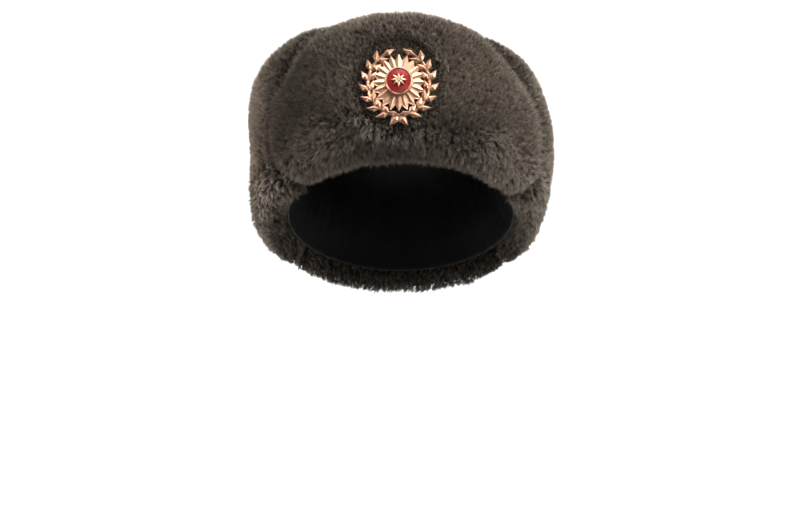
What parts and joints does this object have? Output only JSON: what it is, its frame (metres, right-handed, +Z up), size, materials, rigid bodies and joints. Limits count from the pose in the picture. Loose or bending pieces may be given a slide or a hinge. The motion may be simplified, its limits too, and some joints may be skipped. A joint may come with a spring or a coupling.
{
  "type": "fur hat with ear flaps",
  "caption": "Deep fur winter hat with a turned-up visor, turned-up ear and nape flaps, a black lining and a metal badge with a red enamel centre, held as it is worn.",
  "frame": {"origin": "the head's seat: the highest point inside the crown, where it rests on a head", "axes": "+Z up as worn, -Y the way the wearer faces, +X the wearer's left"},
  "size_m": [0.272, 0.2843, 0.2333],
  "materials": {
    "fur": "deep plush pile, warm grey-brown",
    "lining": "black quilted satin",
    "badge_metal": "copper-gold, cast and polished",
    "badge_enamel": "glossy red enamel"
  },
  "bodies": {
    "root": {"crown": "fur", "lining": "lining", "visor": "fur", "ear_flap_left": "fur", "ear_flap_right": "fur", "nape_flap": "fur", "badge_metal": "badge_metal", "badge_enamel": "badge_enamel", "badge_rosette": "badge_metal"}
  },
  "joints": []
}
